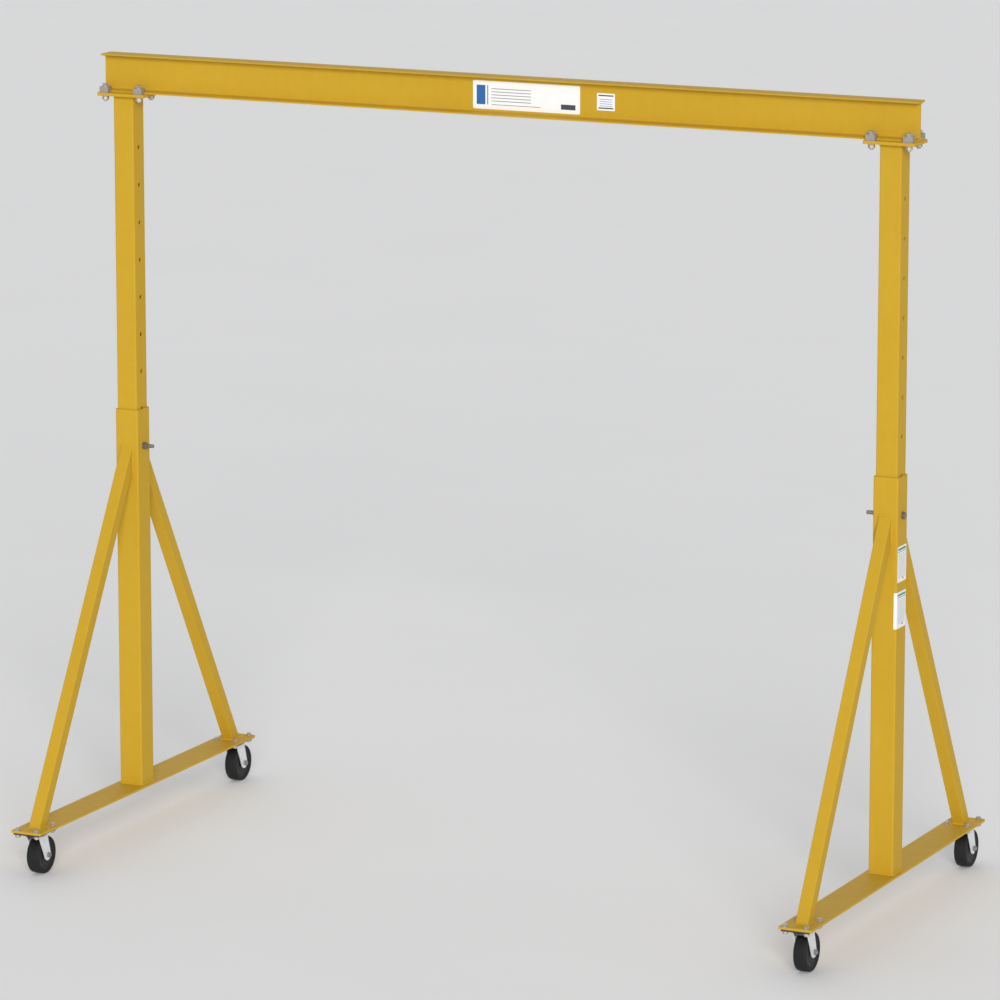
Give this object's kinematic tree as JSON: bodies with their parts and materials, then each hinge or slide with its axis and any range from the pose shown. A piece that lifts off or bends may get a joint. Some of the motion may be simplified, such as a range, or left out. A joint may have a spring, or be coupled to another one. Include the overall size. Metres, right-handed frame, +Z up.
{
  "type": "portable gantry crane",
  "caption": "Rolling A-frame gantry crane: an I-beam clamped on two telescoping square-tube legs, each braced to a flat base bar with swivel casters at its ends.",
  "frame": {"origin": "on the floor under the middle of the beam, half way between the two legs", "axes": "+X along the beam, +Y along the base bars towards the side the casters trail to, +Z up"},
  "size_m": [3.5116, 1.8735, 3.1975],
  "materials": {
    "yellow_paint": "satin safety-yellow enamel with light orange peel",
    "zinc_castings": "zinc-plated cast clamp blocks, dull",
    "zinc_fasteners": "zinc-plated bolts, nuts and washers",
    "lock_steel": "dull plated lock bolts, nuts and washers",
    "zinc_pressings": "bright zinc-plated pressed steel",
    "dark_plate": "dark coated caster plate with its race",
    "label_film": "white printed film with plain bars and rules, no lettering",
    "bearing_steel": "hardened bearing steel",
    "wheel_core": "dark moulded wheel centre",
    "tyre_rubber": "black moulded rubber tread"
  },
  "bodies": {
    "beam": {"beam": "yellow_paint"},
    "left_head": {"left_mast": "yellow_paint", "left_head_plate": "yellow_paint", "left_beam_clamps": "zinc_castings", "left_clamp_bolts": "zinc_fasteners", "left_clamp_nuts": "zinc_fasteners"},
    "left_frame": {"left_base_bar": "yellow_paint", "left_column": "yellow_paint", "left_front_brace": "yellow_paint", "left_rear_brace": "yellow_paint", "left_caster_bolts": "zinc_fasteners", "left_caster_nuts": "zinc_fasteners", "left_front_caster_plate": "dark_plate", "left_rear_caster_plate": "dark_plate"},
    "left_lock_bolt": {"left_lock_bolt": "lock_steel"},
    "left_lock_nut": {"left_lock_nut": "lock_steel"},
    "left_front_swivel": {"left_front_caster_balls": "bearing_steel", "left_front_caster_fork": "zinc_pressings", "left_front_axle_bushing": "bearing_steel", "left_front_axle_bolt": "zinc_fasteners", "left_front_axle_nut": "zinc_fasteners"},
    "left_front_wheel": {"left_front_wheel_core": "wheel_core", "left_front_tyre": "tyre_rubber"},
    "left_rear_swivel": {"left_rear_caster_balls": "bearing_steel", "left_rear_caster_fork": "zinc_pressings", "left_rear_axle_bushing": "bearing_steel", "left_rear_axle_bolt": "zinc_fasteners", "left_rear_axle_nut": "zinc_fasteners"},
    "left_rear_wheel": {"left_rear_wheel_core": "wheel_core", "left_rear_tyre": "tyre_rubber"},
    "right_head": {"right_mast": "yellow_paint", "right_head_plate": "yellow_paint", "right_beam_clamps": "zinc_castings", "right_clamp_bolts": "zinc_fasteners", "right_clamp_nuts": "zinc_fasteners"},
    "right_frame": {"right_base_bar": "yellow_paint", "right_column": "yellow_paint", "right_front_brace": "yellow_paint", "right_rear_brace": "yellow_paint", "right_caster_bolts": "zinc_fasteners", "right_caster_nuts": "zinc_fasteners", "right_front_caster_plate": "dark_plate", "right_rear_caster_plate": "dark_plate"},
    "right_lock_bolt": {"right_lock_bolt": "lock_steel"},
    "right_lock_nut": {"right_lock_nut": "lock_steel"},
    "right_front_swivel": {"right_front_caster_balls": "bearing_steel", "right_front_caster_fork": "zinc_pressings", "right_front_axle_bushing": "bearing_steel", "right_front_axle_bolt": "zinc_fasteners", "right_front_axle_nut": "zinc_fasteners"},
    "right_front_wheel": {"right_front_wheel_core": "wheel_core", "right_front_tyre": "tyre_rubber"},
    "right_rear_swivel": {"right_rear_caster_balls": "bearing_steel", "right_rear_caster_fork": "zinc_pressings", "right_rear_axle_bushing": "bearing_steel", "right_rear_axle_bolt": "zinc_fasteners", "right_rear_axle_nut": "zinc_fasteners"},
    "right_rear_wheel": {"right_rear_wheel_core": "wheel_core", "right_rear_tyre": "tyre_rubber"}
  },
  "joints": [
    {"name": "left_leg_span", "type": "slide", "parent": "beam", "child": "left_head", "axis": [1, 0, 0], "range_m": [0, 1.2192]},
    {"name": "left_leg_height", "type": "slide", "parent": "left_head", "child": "left_frame", "axis": [0, 0, 1], "range_m": [0, 0.9144]},
    {"name": "left_lock_bolt_pull", "type": "slide", "parent": "left_frame", "child": "left_lock_bolt", "axis": [-1, 0, 0], "range_m": [0, 0.16]},
    {"name": "left_lock_nut_off", "type": "slide", "parent": "left_frame", "child": "left_lock_nut", "axis": [1, 0, 0], "range_m": [0, 0.06]},
    {"name": "left_front_swivel", "type": "hinge", "parent": "left_frame", "child": "left_front_swivel", "pos_m": [-1.651, -0.8382, 0.18415], "axis": [0, 0, 1], "continuous": true},
    {"name": "left_front_wheel_spin", "type": "hinge", "parent": "left_front_swivel", "child": "left_front_wheel", "pos_m": [-1.651, -0.79375, 0.0762], "axis": [1, 0, 0], "continuous": true},
    {"name": "left_rear_swivel", "type": "hinge", "parent": "left_frame", "child": "left_rear_swivel", "pos_m": [-1.651, 0.8382, 0.18415], "axis": [0, 0, 1], "continuous": true},
    {"name": "left_rear_wheel_spin", "type": "hinge", "parent": "left_rear_swivel", "child": "left_rear_wheel", "pos_m": [-1.651, 0.88265, 0.0762], "axis": [1, 0, 0], "continuous": true},
    {"name": "right_leg_span", "type": "slide", "parent": "beam", "child": "right_head", "axis": [-1, 0, 0], "range_m": [0, 1.2192]},
    {"name": "right_leg_height", "type": "slide", "parent": "right_head", "child": "right_frame", "axis": [0, 0, 1], "range_m": [0, 0.9144]},
    {"name": "right_lock_bolt_pull", "type": "slide", "parent": "right_frame", "child": "right_lock_bolt", "axis": [1, 0, 0], "range_m": [0, 0.16]},
    {"name": "right_lock_nut_off", "type": "slide", "parent": "right_frame", "child": "right_lock_nut", "axis": [-1, 0, 0], "range_m": [0, 0.06]},
    {"name": "right_front_swivel", "type": "hinge", "parent": "right_frame", "child": "right_front_swivel", "pos_m": [1.651, -0.8382, 0.18415], "axis": [0, 0, 1], "continuous": true},
    {"name": "right_front_wheel_spin", "type": "hinge", "parent": "right_front_swivel", "child": "right_front_wheel", "pos_m": [1.651, -0.79375, 0.0762], "axis": [1, 0, 0], "continuous": true},
    {"name": "right_rear_swivel", "type": "hinge", "parent": "right_frame", "child": "right_rear_swivel", "pos_m": [1.651, 0.8382, 0.18415], "axis": [0, 0, 1], "continuous": true},
    {"name": "right_rear_wheel_spin", "type": "hinge", "parent": "right_rear_swivel", "child": "right_rear_wheel", "pos_m": [1.651, 0.88265, 0.0762], "axis": [1, 0, 0], "continuous": true}
  ]
}
